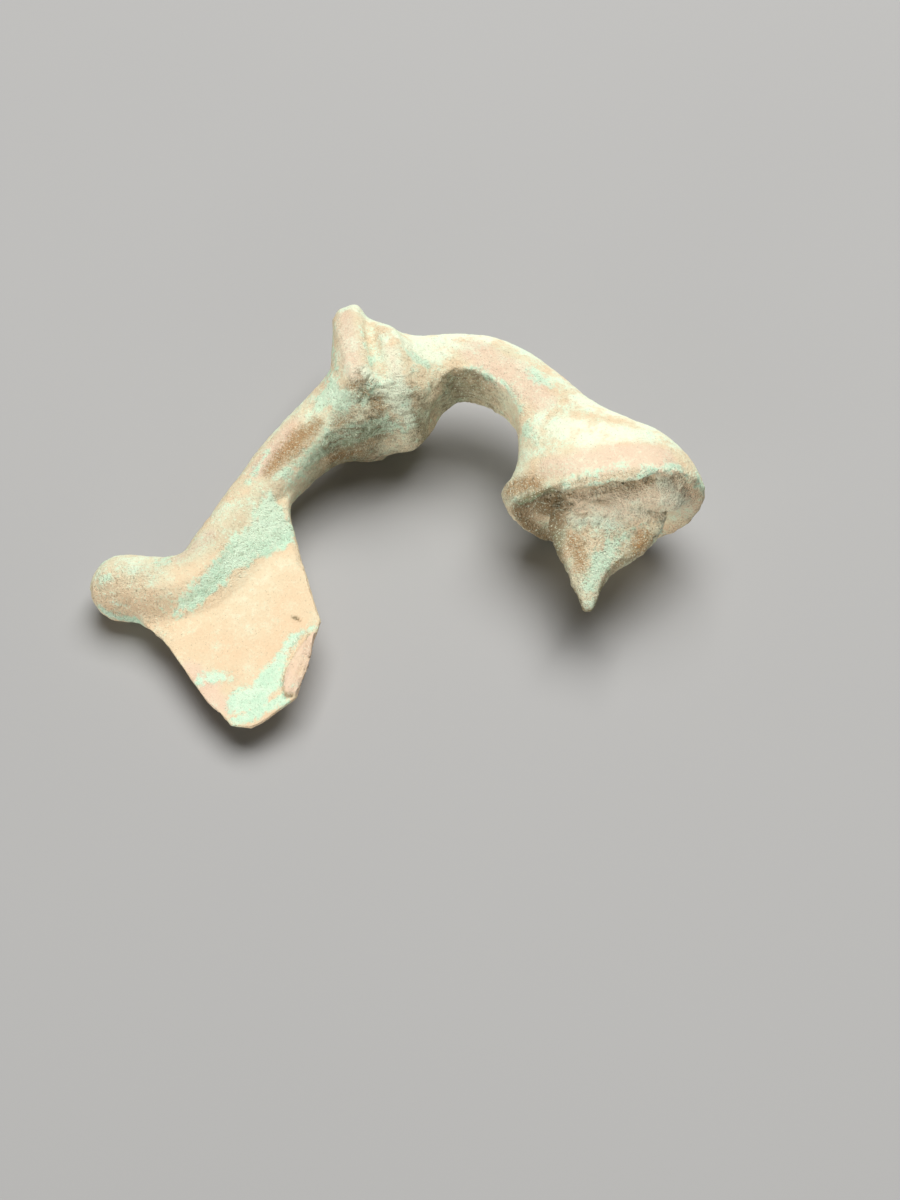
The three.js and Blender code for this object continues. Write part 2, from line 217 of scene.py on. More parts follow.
# Where the rim is drawn out past the solid's, or worn back: from, to and the share of the most it is moved outwards.
RIM_MOVES = (
    ((11.9, -8.8), (13.4, -3.3), 1.0),
    ((3.2, -3.9), (7.9, -10.3), -0.7),
)
# The spring lug's root on the head's face: its middle, its half length along u and its half width across w.
LUG_ROOT = (32.3, 4.1, 3.1)
# How far the lip along the face's upper edge hangs below the solid's edge, as a share of the most, by u.
LIP_DROP = ((25.5, 0.4), (28.5, 0.5), (31.0, 0.85), (33.6, 0.95), (35.4, 0.45), (36.4, 0.05), (37.6, 0.0))
# Where the smooth casting swells or sinks a little: u, v, w, radius and height.
SWELLINGS = (
    (18.5, 10.5, -2.0, 2.0, 0.4),
    (17.2, 10.4, -2.6, 1.6, 0.2),
    (19.0, 10.6, 0.6, 1.2, 0.2),
    (21.0, 11.9, -0.8, 1.9, -0.5),
    (16.6, 11.1, 3.4, 1.0, -0.2),
)
# How much the layered streaks are squeezed along u, v and w, so that they run along the casting.
STREAK_SQUEEZE = (0.28, 1.9, 2.1)

# The patina's noises: width of a lump in millimetres, detail, roughness and where it is sampled.
NOISES = {
    "cloud": (3.2, 3, 0.55, 0.055),
    "mottle": (1.1, 4, 0.62, 0.013),
    "speck": (0.34, 3, 0.65, 0.021),
    "dust": (0.1, 2, 0.6, 0.034),
    "grit": (0.19, 2, 0.8, 0.047),
}
LAYER_NOISE = (0.3, 3, 0.6, 0.063)
LAYER_SQUEEZE = (0.22, 1.0, 1.0)
BUMP_DEPTH = 0.2 * MM

# The lights' widths and places in metres, and the width of the floor's faint clouds in millimetres.
KEY_SIZE, KEY_PLACE = (0.4, 0.4), (0.06, 0.15, 0.46)
FILL_SIZE, FILL_PLACE = (0.5, 0.06), (-0.26, -0.42, 0.04)
FLOOR_LUMP = 60


# ---- shares from 0 to 1 ----


def smooth(t):
    t = np.clip(t, 0.0, 1.0)
    return t * t * (3 - 2 * t)


def rise(values, start, width):
    """0 up to start, 1 from start + width on, and smooth between them."""
    return smooth((values - start) / width)


def fall(values, end, width):
    """1 up to end - width, 0 from end on, and smooth between them."""
    return smooth((end - values) / width)


def peak(values, middle, reach):
    return smooth(1 - np.abs(values - middle) / reach)


def run_depth(points, run):
    """How far each point lies inside a run of balls, negative outside it."""
    balls = np.array(run, float)
    if len(balls) == 1:
        return balls[0, 3] - np.linalg.norm(points - balls[0, :3], axis=1)
    best = np.full(len(points), -1e3)
    for a, b in zip(balls[:-1], balls[1:]):
        along = b[:3] - a[:3]
        t = np.clip((points - a[:3]) @ along / (along @ along), 0, 1)
        gap = np.linalg.norm(points - (a[:3] + t[:, None] * along), axis=1)
        best = np.maximum(best, a[3] + t * (b[3] - a[3]) - gap)
    return best


def deepest(points, runs):
    return np.max([run_depth(points, run) for run in runs], axis=0)


def share_in(points, runs, fade, at_edge):
    """1 well inside the runs and 0 outside them, over a soft edge of about the fade's width."""
    return smooth(deepest(points, runs) / fade + at_edge)


class Grain:
    """Gradient noise over an array of points, the same on every run."""

    def __init__(self, seed):
        source = np.random.default_rng(seed)
        self.order = source.permutation(256)
        slopes = source.normal(size=(256, 3))
        self.slopes = slopes / np.linalg.norm(slopes, axis=1)[:, None]

    def _layer(self, points):
        cell = np.floor(points).astype(int)
        part = points - cell
        fade = part**3 * (part * (part * 6 - 15) + 10)
        total = np.zeros(len(points))
        for corner in itertools.product((0, 1), repeat=3):
            at = (cell + corner) & 255
            pick = self.order[(self.order[(self.order[at[:, 0]] + at[:, 1]) & 255] + at[:, 2]) & 255]
            weight = np.where(corner, fade, 1 - fade).prod(axis=1)
            total += weight * (self.slopes[pick] * (part - corner)).sum(axis=1)
        return total * 1.7

    def field(self, points, size, layers=1, roughness=0.5):
        """About -1 to 1, in lumps of that size, with finer layers laid over them."""
        total, height = np.zeros(len(points)), 1.0
        for layer in range(layers):
            total += height * self._layer(points / size * 2**layer + 17.3 * layer)
            height *= roughness
        return total


# ---- meshes ----


class OwnFrame:
    """Turns row coordinates in metres into the casting's own u, v and w in millimetres."""

    def __init__(self, solid):
        sums = {}
        for face in solid.data.polygons:
            if face.normal.z > 0.9:
                key = tuple(round(c, 3) for c in face.normal)
                held = sums.setdefault(key, [0.0, Vector(), Vector()])
                held[0] += face.area
                held[1] += face.normal * face.area
                held[2] += face.center * face.area
        # The catchplate's face is the largest flat one that looks up.
        area, up, centre = max(sums.values(), key=lambda held: held[0])
        up = up.normalized()
        along = Vector((up.z, 0, -up.x)).normalized()
        self.axes = np.array([along, up.cross(along), up])
        corners = np.array([v.co for v in solid.data.vertices]) / MM @ self.axes.T
        face_level = float(np.array(centre / area) / MM @ self.axes[2])
        low = corners.min(axis=0)
        self.shift = np.array([KNOB_END - low[0], PLATE_FOOT - low[1], PLATE_FACE - face_level])

    def own(self, points):
        return np.asarray(points) / MM @ self.axes.T + self.shift

    def row(self, points):
        return (np.asarray(points) - self.shift) @ self.axes * MM


def mesh_vectors(mesh, what):
    """The mesh's vertex places ("co") or normals ("normal")."""
    values = np.empty(len(mesh.vertices) * 3)
    mesh.vertices.foreach_get(what, values)
    return values.reshape(-1, 3)


def move_to(mesh, points):
    mesh.vertices.foreach_set("co", points.ravel())
    mesh.update()


def neighbours(mesh):
    ends = np.empty(len(mesh.edges) * 2, int)
    mesh.edges.foreach_get("vertices", ends)
    return ends.reshape(-1, 2)


def spread(values, ends, rounds, share=0.5):
    """Evens values, or points, out over the mesh's edges."""
    count = np.bincount(ends.ravel(), minlength=len(values)).astype(float)
    flat = values.reshape(len(values), -1).copy()
    count = np.maximum(count, 1)[:, None]
    for _ in range(rounds):
        total = np.zeros_like(flat)
        for column in range(flat.shape[1]):
            total[:, column] = np.bincount(ends[:, 0], flat[ends[:, 1], column], len(flat))
            total[:, column] += np.bincount(ends[:, 1], flat[ends[:, 0], column], len(flat))
        flat += share * (total / count - flat)
    return flat.reshape(values.shape)


def even_skin(solid, cell, rounds):
    """A copy of the solid's mesh in millimetres with even faces of about one cell, its facets smoothed away."""
    mesh = solid.data.copy()
    work = bmesh.new()
    work.from_mesh(mesh)
    bmesh.ops.remove_doubles(work, verts=work.verts, dist=2e-7)
    bmesh.ops.scale(work, vec=(1 / MM,) * 3, verts=work.verts)
    work.to_mesh(mesh)
    work.free()
    skin = bpy.data.objects.new("corroded_casting", mesh)
    bpy.context.scene.collection.objects.link(skin)
    remesh = skin.modifiers.new("even faces", "REMESH")
    remesh.mode = "VOXEL"
    remesh.voxel_size = cell
    depsgraph = bpy.context.evaluated_depsgraph_get()
    even = bpy.data.meshes.new_from_object(skin.evaluated_get(depsgraph))
    skin.modifiers.clear()
    skin.data = even
    bpy.data.meshes.remove(mesh)
    move_to(even, spread(mesh_vectors(even, "co"), neighbours(even), rounds))
    return skin


def fill_corners(mesh, ends, share, passes):
    """Fills inner corners with a rounded fillet and leaves what stands proud, by share at each point."""
    points = mesh_vectors(mesh, "co")
    for _ in range(passes):
        normals = mesh_vectors(mesh, "normal")
        push = ((spread(points, ends, 8) - points) * normals).sum(axis=1)
        points += normals * (share * np.maximum(push, 0))[:, None]
        move_to(mesh, points)


# ---- the casting's form ----


def thin_edge(p, size):
    """Moves the catchplate's edge a little, squares its upper side and thins it from the back."""
    u, v, w = p.T
    q = p.copy()
    on_plate = np.abs(w) < PLATE_REACH
    for start, end, move in RIM_MOVES:
        reach = np.subtract(end, start)
        length = np.linalg.norm(reach)
        outward = np.array([reach[1], -reach[0]]) / length
        offset = p[:, :2] - start
        along = offset @ reach / length
        beside = rise(along, -0.3, 0.6) * fall(along, length + 0.3, 0.6)
        close = rise(offset @ outward, -1.2, 1.2) * beside * on_plate
        q[:, :2] += outward * (size["drawn"] * move * close)[:, None]
    rim = [(*corner, 0, 0) for corner in PLATE_RIM]
    inside = -run_depth(p * (1, 1, 0), rim)
    plate = fall(v - 0.35 * (u - 6.0), -1.2, 1.0) * on_plate
    upper = rise(w, 0.02, 0.2) * fall(inside, 0.6, 0.2) * plate
    q[:, 2] += upper * (PLATE_FACE - w)
    keep = 1 - size["thinned"] * fall(inside, 2.4, 2.4) * plate * fall(w, PLATE_FACE, 0.1)
    q[:, 2] = PLATE_FACE - (PLATE_FACE - q[:, 2]) * keep
    return q


class FaceOutline:
    """The edge of the head's face, as its reach from the middle in each direction."""

    def __init__(self, p, steps=60):
        edge = p[(np.abs(p[:, 1] - FACE_LEVEL) < 0.3) & (p[:, 0] > HEAD_START - 0.5)]
        turn, reach = self._polar(edge)
        place = np.floor((turn / (2 * math.pi) + 0.5) * steps).astype(int) % steps
        self.reach = np.array([reach[place == i].max() for i in range(steps)])
        self.turns = ((np.arange(-1, steps + 1) + 0.5) / steps - 0.5) * 2 * math.pi
        self.reach = np.concatenate([self.reach[-1:], self.reach, self.reach[:1]])

    def _polar(self, p):
        along, across = p[:, 0] - FACE_MIDDLE[0], p[:, 2] - FACE_MIDDLE[1]
        return np.arctan2(across, along), np.hypot(along, across)

    def depth(self, p):
        """How far in from the edge each point lies, in millimetres."""
        turn, reach = self._polar(p)
        return np.interp(turn, self.turns, self.reach) - reach


def ledge_width(u):
    """The ledged groove below the head's upper edge is widest on the left and runs out to the right."""
    return 1.7 - 0.9 * rise(u, 31.5, 4.5)


def hang_lip(p, size, outline):
    """Draws the face's upper edge out into a thick lip."""
    u, v, w = p.T
    across, drop = zip(*LIP_DROP)
    share = np.interp(u, across, drop) * rise(w, 0.2, 1.4) * (u > HEAD_START)
    share *= fall(v, 5.9, 1.6) * fall(outline.depth(p), 1.5, 1.4)
    q = p.copy()
    q[:, 1] -= size["lip"] * share
    return q


def swell_root(p, size, outline):
    """Runs the spring lug's root out over the head's face, and says which points it moved."""
    u, v, w = p.T
    middle, length, width = LUG_ROOT
    inside = outline.depth(p)
    beyond = (np.hypot((u - middle) / length, w / width) - 1) * (length + width) / 2
    inner = rise(inside, ledge_width(u) - 0.1, 1.1)
    height = size["swell"] * smooth(1 - beyond / 2.5) * rise(w, -1.4, 2.4) * inner
    here = (v < FACE_LEVEL + 0.4) & (inside > 0.5) & (u > HEAD_START) & (height > 0.02)
    q = p.copy()
    q[:, 1] = np.where(here, np.minimum(v, FACE_LEVEL - height), v)
    return q, here * 1.0


def form_casting(mesh, ends, body, size, fillet):
    """Shapes the even skin into the smooth casting, and gives its points, normals and the face's outline."""
    p = body.own(mesh_vectors(mesh, "co") * MM)
    outline = FaceOutline(p)
    p, moved = swell_root(hang_lip(thin_edge(p, size), size, outline), size, outline)
    p += np.minimum(spread(moved, ends, 6), 1)[:, None] * (spread(p, ends, 10) - p)
    move_to(mesh, body.row(p) / MM)
    fill_corners(mesh, ends, fall(p[:, 1], 4.4, 0.5) * rise(p[:, 0], HEAD_START + 0.5, 0.5), fillet)
    return body.own(mesh_vectors(mesh, "co") * MM), mesh_vectors(mesh, "normal") @ body.axes.T, outline


# ---- relief ----


def find_marks(p, warp, normals, outline):
    """Where each kind of surface lies, from 0 to 1 at each point."""
    u, v, w = p.T
    warped = p + 0.25 * warp
    inside = outline.depth(warped)
    marks = {
        "plate": fall(v - 0.35 * (u - 9), 2.2, 1.2) * rise(normals[:, 2] ** 2, 0.8, 0.15),
        "head": fall(v, 4.1, 0.5) * rise(u, HEAD_START - 1, 1.0),
        "knob": fall(u, 4.6, 2.0) * fall(v, 0.9, 1.6),
        "hollow": share_in(warped, [HOLLOW_RUN], 0.7, 0.35),
        "under": fall(normals[:, 1], -0.35, 0.35) * rise(u, 13, 1.0) * fall(u, 26, 1.5),
        "band": peak(v, 4.6, 1.2) * fall(u, 28.5, 2.0) * rise(u, HEAD_START - 1, 1.0),
        "crack": share_in(p + 0.2 * warp, CRACK_RUNS, 0.1, 1),
    }
    marks["ledge"] = rise(inside, 0.5, 0.3) * (1 - rise(inside, ledge_width(u), 0.7)) * fall(v, 4.4, 0.2)
    marks["ledge"] *= rise(w, -0.3, 1.0) * rise(u, HEAD_START, 0.6) * fall(u, 36.4, 2.5)
    marks["lip"] = fall(inside, 0.75, 0.3) * rise(w, -0.2, 0.8) * rise(u, HEAD_START, 0.6) * fall(v, 4.45, 0.35)

    outer = rise(normals[:, 1], 0.25, 0.5) * rise(u, 18.0, 2.0)
    calm = 0.65 * share_in(warped, [SMOOTH_PAINTED_LIGHT_RUN], 1.4, 0.5)
    rough = 0.85 * marks["head"] * (1 - calm) + 0.4 * marks["knob"] + 0.7 * marks["hollow"]
    rough += 0.4 * marks["under"] + 0.6 * marks["band"] + 0.26 * (1 - marks["plate"]) * (1 - 0.8 * outer)
    rough += 0.5 * share_in(warped, BROWN_RUNS, 0.6, 0.6) + 0.2 * share_in(warped, MINT_RUNS, 0.5, 0.5)
    marks["rough"] = np.clip(rough, 0, 1)
    return marks


def relief(p, warp, marks, size):
    """How far the surface stands out from the smooth casting, in millimetres."""
    u, v, w = p.T
    broad, fine, cut = Grain(11), Grain(23), Grain(37)
    out = 0.04 * broad.field(p, 2.4, 2) * (1 - 0.6 * marks["plate"])
    out += (0.02 + 0.06 * marks["rough"]) * fine.field(p, 0.8, 3, 0.65) * (1 - 0.5 * marks["plate"])
    for *middle, radius, height in SWELLINGS:
        out += height * smooth(1 - np.linalg.norm(p - middle, axis=1) / radius)
    # Layered streaks that run along the casting, on its underside and on the head's face, but not on the collar.
    layers = cut.field(p * STREAK_SQUEEZE + 0.25 * warp, 0.9, 3, 0.65)
    collar = rise(u, 17.7, 0.5) * fall(u, 20.6, 0.6)
    out += (0.09 * marks["under"] * (1 - collar) + 0.04 * marks["head"] + 0.13 * marks["ledge"]) * layers
    out += 0.1 * marks["lip"] * broad.field(p, 0.9, 2)
    out -= size["ledge"] * marks["ledge"]
    out -= size["hollow"] * marks["hollow"] * (1 + 1.1 * cut.field(p + 0.25 * warp, 0.5, 3, 0.7))
    # The edge of the head is eaten away in places.
    arris = peak(v, 3.5, 0.9) * rise(u, HEAD_START, 1.0) * rise(w, 0.2, 1.0)
    out -= size["nibble"] * arris * smooth(0.5 + 0.8 * broad.field(p, 1.6, 3))
    # Fine pits, where the noise dips low.
    out -= size["pit"] * fall(cut.field(p, 0.42, 1), -0.42, 0.2) * (0.35 + 0.65 * marks["rough"])
    for *middle, radius in DEEP_PITS:
        out -= 0.9 * radius * smooth(1.25 - np.linalg.norm(p - middle, axis=1) / radius)
    return out - size["crack"] * marks["crack"]


def flake_height(p, thick):
    """The flake left by the catch: a thin plate with a broken inner edge along the catchplate's outer edge."""
    edge = np.array(FLAKE_EDGE)
    v = np.clip(p[:, 1], edge[-1, 1], edge[0, 1])
    inner = np.interp(-v, -edge[:, 1], edge[:, 0])
    ends = np.minimum(edge[0, 1] + 0.1 - p[:, 1], p[:, 1] - edge[-1, 1])
    return thick * rise(p[:, 0], inner, 0.12) * rise(ends, 0, 0.25)


def settle_flake(p, normals, size):
    """Planes the catch's low ridge down to the plate and lays the broken flake on it."""
    near = (p[:, 0] > 10.6) & (p[:, 1] < -3.6) & (p[:, 2] > 0.05)
    over = np.where(near, np.maximum(p[:, 2] - PLATE_FACE, 0), 0)
    ragged = p + 0.1 * Grain(41).field(p, 0.5, 2)[:, None]
    height = np.where(near, flake_height(ragged, size["flake"]), 0)
    return height * smooth(normals[:, 2]) - over, height / size["flake"]


# ---- what covers the surface ----


def soil_and_shade_cover(p, normals, marks):
    """Where soil and painted shade darken the patina: below the bow, on the head's face and on the catchplate's edge.
    Faces turned down, away from the key light, and the catchplate's side edge are darkened as painted shade with
    soil.
    """
    u, v, w = p.T
    # Painted shade: faces turned down, away from the key light, below the bow and at its foot.
    below = fall(normals[:, 1], -0.2, 0.7)
    foot = below * rise(u, 11.0, 2.0) * fall(u - 0.6 * np.minimum(w, 0), 18.9, 2.2) * fall(w, 2.8, 1.6)
    arch = below * rise(u, 19.0, 0.8) * rise(v, 6.0, 2.0) * (1 - 0.5 * rise(u, 23.0, 2.5))
    # Painted shade on the catchplate's side edge, which turns away from the light.
    rim = fall(w, 0.25, 0.3) * fall(v, -1.5, 1.0) * rise(normals[:, 2], -0.6, 0.4) * (u > 3)
    cover = 0.6 * foot + 0.6 * arch + 0.9 * rim + 0.5 * share_in(p, [BROKEN_EDGE], 0.3, 0.6)
    cover += 0.12 * marks["ledge"] + marks["head"] * fall(u, 29.6, 1.6) + 0.3 * marks["hollow"]
    return np.clip(np.maximum(cover, marks["crack"]), 0, 1)


def green_cover(p, marks):
    """How much green is scattered over the bare patina: most on the bow's side and the lug, least on the plate."""
    u, v, _ = p.T
    plate = fall(v - 0.5 * (u - 9), 2.6, 1.5) * (u < 16)
    lug = fall(v, 2.1, 0.8) * (u > HEAD_START)
    cover = 0.75 - 0.6 * plate - 0.65 * marks["head"] * (1 - lug)
    return np.clip(cover + 0.3 * marks["lip"] - 0.3 * marks["band"], 0, 1)


def cream_and_highlight_cover(p, normals):
    """Where the palest crust and a painted highlight lie: the bow's outer side, which faces the key light, is painted
    pale as a highlight, and the runs lay crust on its ridges and painted light on faces in shade.
    """
    # Painted highlight: faces turned towards the key light behind.
    outer = rise(normals[:, 1], 0.25, 0.5) * rise(p[:, 0], 6.0, 6.0)
    return np.maximum(outer, share_in(p, CREAM_AND_PAINTED_LIGHT_RUNS, 1.3, 0.5))


def layer_cover(p, marks):
    """Where layers show: below the bow and in the face's groove, whose right part is less layered."""
    return np.maximum(0.9 * marks["under"], marks["ledge"] * (1 - 0.7 * rise(p[:, 0], 29.0, 2.5)))


def store(mesh, covers):
    for name, values in covers.items():
        layer = mesh.attributes.new(name, "FLOAT", "POINT")
        layer.data.foreach_set("value", np.asarray(values, np.float32))


# ---- material ----


class Value:
    """A node socket that carries a number, with arithmetic written as Python expressions."""

    def __init__(self, finish, socket):
        self.finish, self.socket = finish, socket

    def _maths(self, operation, *terms):
        return self.finish.add("Math", {"operation": operation}, dict(enumerate(terms)))

    def __add__(self, other):
        return self._maths("ADD", self, other)

    def __sub__(self, other):
        return self._maths("SUBTRACT", self, other)

    def __rsub__(self, other):
        return self._maths("SUBTRACT", other, self)

    def __mul__(self, other):
        return self._maths("MULTIPLY", self, other)

    __radd__ = __add__
    __rmul__ = __mul__

    def above(self, low, high):
        """0 below low, 1 above high, and smooth between them."""
        settings = {"interpolation_type": "SMOOTHSTEP"}
        return self.finish.add("MapRange", settings, {"Value": self, "From Min": low, "From Max": high})


class Finish:
    """A material's node tree, added to one node at a time."""

    def __init__(self, name):
        self.material = bpy.data.materials.new(name)
        self.material.use_nodes = True
        self.tree = self.material.node_tree
        self.tree.nodes.clear()

    def add(self, kind, settings=None, values=None, output=0):
        node = self.tree.nodes.new("ShaderNode" + kind)
        for name, setting in (settings or {}).items():
            setattr(node, name, setting)
        for name, value in (values or {}).items():
            socket = node.inputs[name]
            if isinstance(value, Value):
                self.tree.links.new(value.socket, socket)
            else:
                socket.default_value = value
        return None if output is None else Value(self, node.outputs[output])

    def place(self):
        """The place on the object, in metres."""
        return self.add("TexCoord", output=3)

    def attribute(self, name):
        return self.add("Attribute", {"attribute_name": name}, output=2)

    def vector_maths(self, operation, vector, other):
        return self.add("VectorMath", {"operation": operation}, {0: vector, 1: other})

    def noise(self, where, size, detail=3.0, roughness=0.6, seed=0.0):
        """Noise in lumps of about size millimetres, from 0 to 1."""
        moved = self.vector_maths("ADD", where, (seed, -seed, 0.5 * seed))
        values = {"Vector": moved, "Scale": 1 / (size * MM), "Detail": detail, "Roughness": roughness}
        return self.add("TexNoise", {}, values)

    def mix(self, share, a, b, blend="MIX"):
        return self.add("Mix", {"data_type": "RGBA", "blend_type": blend}, {0: share, 6: a, 7: b}, output=2)

    def over(self, share, under, tint, blend="MIX"):
        """A tint laid over a colour by its share."""
        return self.mix(share, under, (*tint, 1), blend)


def patina_colour(finish, look, marks, noises, layers):
    """The patina's colour, from the bare metal's crust up to the pores and grains on top, with painted light and
    painted shade laid in.
    """
    mint, green, brown, tan, pink, cream_and_highlight, face_painted_light, soil_and_shade, rough, layered, height = marks
    cloud, mottle, speck, dust, grit = noises
    over = finish.over

    # Bare patina, warm where it is pink, with painted light on the head's shaded face, and the palest crust and a
    # painted highlight over it.
    base = finish.mix(cloud.above(0.4, 0.62), (*look.sand, 1), (*look.peach, 1))
    warm = (pink * 1.2 + (mottle - 0.5) * 2.2).above(-0.4, 0.7)
    clean = 1.0 - warm * 0.6
    base = over(warm * 0.92, base, look.pink)
    # Painted light: the head's face, which lies in shade, is lightened.
    base = over(face_painted_light, base, look.painted_light_tint)
    ragged = (cloud - 0.5) * 1.6 + (mottle - 0.5) * 2.2 + (speck - 0.5) * 1.2
    crusted = (cream_and_highlight * 0.9 + ragged).above(0.05, 1.1) * (0.15 + 1.3 * green + 0.6 * rough)
    base = over(crusted * clean, base, look.cream_and_highlight)
    base = over((cloud * 0.5 + speck * 0.5).above(0.53, 0.64) * (0.05 + 0.4 * green), base, look.cream_and_highlight)
    # Tan, and painted shade along the lower bow's side.
    base = over((tan + (mottle - 0.5) * 1.4).above(-0.7, 0.7) * 0.6, base, look.tan)

    # Green crust, film and scattered grains.
    crust = finish.mix((mottle * 0.6 + speck * 0.4).above(0.44, 0.62), (*look.mint, 1), (*look.verdigris, 1))
    edge = mint + (mottle - 0.5) * 1.5 + (speck - 0.5) * 1.2
    base = finish.mix(edge.above(-0.15, 0.35) * 0.9, base, crust)
    base = over(green * (mottle * 0.5 + cloud * 0.5).above(0.3, 0.58) * clean * 0.6, base, look.lichen)
    scatter = (grit * 0.5 + mottle * 0.5).above(0.52, 0.61)
    base = over(scatter * (0.05 + 0.65 * green) * clean, base, look.mint)

    # Soil and painted shade, dark layers and rust.
    held = (soil_and_shade * (0.5 + mottle * 0.7 + (speck - 0.5) * 0.8)).above(0.02, 0.8)
    base = over(held, base, look.soil_and_shade, "MULTIPLY")
    base = over((soil_and_shade + layered * 0.7) * layers.above(0.52, 0.36) * 0.75, base, look.pore_and_shade)
    rusty = (brown * 1.3 + (speck - 0.5) * 1.8 + (grit - 0.5) * 3.0).above(-0.5, 0.8)
    base = over(rusty * 0.85, base, look.rust)

    # Dark pores and pale grains, most of them where the surface is rough, and pit bottoms and painted shade in the
    # concave places.
    grains = grit * 0.4 + dust * 0.6
    # Pit bottoms and painted shade: concave places, lower than their smoothed surroundings, are darkened.
    base = over((0.0 - height).above(0.015, 0.08) * (0.18 + 0.2 * rough), base, look.pore_and_shade)
    base = over(grains.above(0.47, 0.39) * (0.08 + 0.5 * rough), base, look.pore_and_shade)
    base = over(grains.above(0.54, 0.61) * (0.16 + 0.6 * rough), base, look.cream_and_highlight)
    return over((dust * 0.8 + grit * 0.2).above(0.36, 0.3) * 0.8, base, look.pore_and_shade)


def patina(look):
    finish = Finish("bronze_patina")
    where = finish.place()
    names = ("mint", "green", "brown", "tan", "pink", "cream_and_highlight", "face_painted_light", "soil_and_shade", "rough", "layered", "height")
    marks = [finish.attribute(name) for name in names]
    noises = [finish.noise(where, *noise) for noise in NOISES.values()]
    _, mottle, speck, dust, grit = noises
    layers = finish.noise(finish.vector_maths("MULTIPLY", where, LAYER_SQUEEZE), *LAYER_NOISE)
    rough, layered = marks[names.index("rough")], marks[names.index("layered")]

    grain = speck * 0.3 + grit * 0.6 + dust * 0.6
    bump_height = grain * (0.3 + 2.4 * rough) + mottle * 0.3 + layered * layers * 1.6
    bump = finish.add("Bump", {}, {"Strength": look.bump, "Distance": BUMP_DEPTH, "Height": bump_height})
    surface = {
        "Base Color": patina_colour(finish, look, marks, noises, layers),
        "Roughness": 0.78 + 0.16 * speck,
        "Normal": bump,
        "Specular IOR Level": 0.2,
    }
    shader = finish.add("BsdfPrincipled", {}, surface)
    finish.add("OutputMaterial", {}, {"Surface": shader}, output=None)
    return finish.material


def plain_finish(tone):
    """A matt finish for the floor, very slightly clouded."""
    finish = Finish("pale_floor")
    cloud = finish.noise(finish.place(), FLOOR_LUMP, 2, 0.5)
    clouded = finish.mix(cloud, (*tone, 1), (*[c * 1.06 for c in tone], 1))
    shader = finish.add("BsdfPrincipled", {}, {"Base Color": clouded, "Roughness": 0.9, "Specular IOR Level": 0.1})
    finish.add("OutputMaterial", {}, {"Surface": shader}, output=None)
    return finish.material


# ---- what a user would change ----


def length_setting(name, description, millimetres, **limits):
    return FloatProperty(
        name=name, description=description, default=millimetres * MM, precision=5, unit="LENGTH", **limits
    )


def colour_setting(name, description, default):
    return FloatVectorProperty(name=name, description=description, default=default, subtype="COLOR", min=0, max=1)


class ReliefSizes(bpy.types.PropertyGroup):
    cell: length_setting("Cell", "Width of one face of the corroded skin", 0.14, min=0.1 * MM)
    rounds: IntProperty(name="Smoothing", description="How often the skin's facets are evened out", default=5, min=0)
    fillet: IntProperty(name="Fillet", description="How far the spring lug flows into the head", default=20, min=0)
    thinned: FloatProperty(
        name="Thinned edge",
        description="Share of its thickness that the catchplate loses at its edge",
        default=0.6,
        min=0,
        max=0.8,
    )
    drawn: length_setting("Drawn edge", "How far the catchplate's edge is drawn out or worn back", 0.16)
    lip: length_setting("Lip", "How far the lip of the head's face hangs", 0.8)
    swell: length_setting("Swelling", "How far the lug's root swells over the head's face", 1.7)
    hollow: length_setting("Hollow", "Depth of the corroded hollow below the collar", 0.1)
    ledge: length_setting("Ledge", "Depth of the ledged groove inside the head's edge", 0.1)
    nibble: length_setting("Nibbled edge", "How far the edge of the head is eaten away", 0.16)
    pit: length_setting("Pits", "Depth of the fine pits", 0.1)
    crack: length_setting("Cracks", "Depth of the cracks", 0.1)
    flake: length_setting("Flake", "Thickness of the flake left by the catch", 0.34)

    def millimetres(self):
        """The relief's depths in millimetres, and the share that the catchplate's edge is thinned by."""
        depths = ("drawn", "lip", "swell", "hollow", "ledge", "nibble", "pit", "crack", "flake")
        return {"thinned": self.thinned, **{name: getattr(self, name) / MM for name in depths}}


class PatinaColours(bpy.types.PropertyGroup):
    sand: colour_setting("Sand", "Bare dry patina", (0.81, 0.6, 0.38))
    peach: colour_setting("Peach", "Paler bare patina", (0.8, 0.63, 0.41))
    pink: colour_setting("Pink", "Pinkish copper-rich patina", (0.8, 0.59, 0.43))
    # Painted light: lightens the head's face, which lies in shade.
    painted_light_tint: colour_setting("Dry", "Palest bare patina, on the head's face", (0.98, 0.8, 0.58))
    # Also used for painted shade along the lower bow's side.
    tan: colour_setting("Tan", "Browner bare patina", (0.58, 0.40, 0.24))
    # Used for the palest crust, and for the painted highlight and painted light.
    cream_and_highlight: colour_setting("Cream", "Palest crust", (0.9, 0.93, 0.71))
    mint: colour_setting("Mint", "Pale green crust", (0.7, 0.92, 0.7))
    lichen: colour_setting("Lichen", "Yellowish green film", (0.76, 0.86, 0.62))
    verdigris: colour_setting("Verdigris", "Stronger green crust", (0.54, 0.82, 0.6))
    # Darkening for soil and for painted shade on faces turned away from the light.
    soil_and_shade: colour_setting("Soil", "How soil held in sheltered places darkens the patina", (0.42, 0.37, 0.29))
    rust: colour_setting("Rust", "Brown iron-stained grains", (0.44, 0.23, 0.08))
    # Used for pits, and for painted shade in concave places and on shaded layered faces.
    pore_and_shade: colour_setting("Pore", "The bottoms of pits", (0.3, 0.25, 0.15))
    bump: FloatProperty(name="Grain", description="Strength of the finest grain", default=0.8, min=0, max=1)


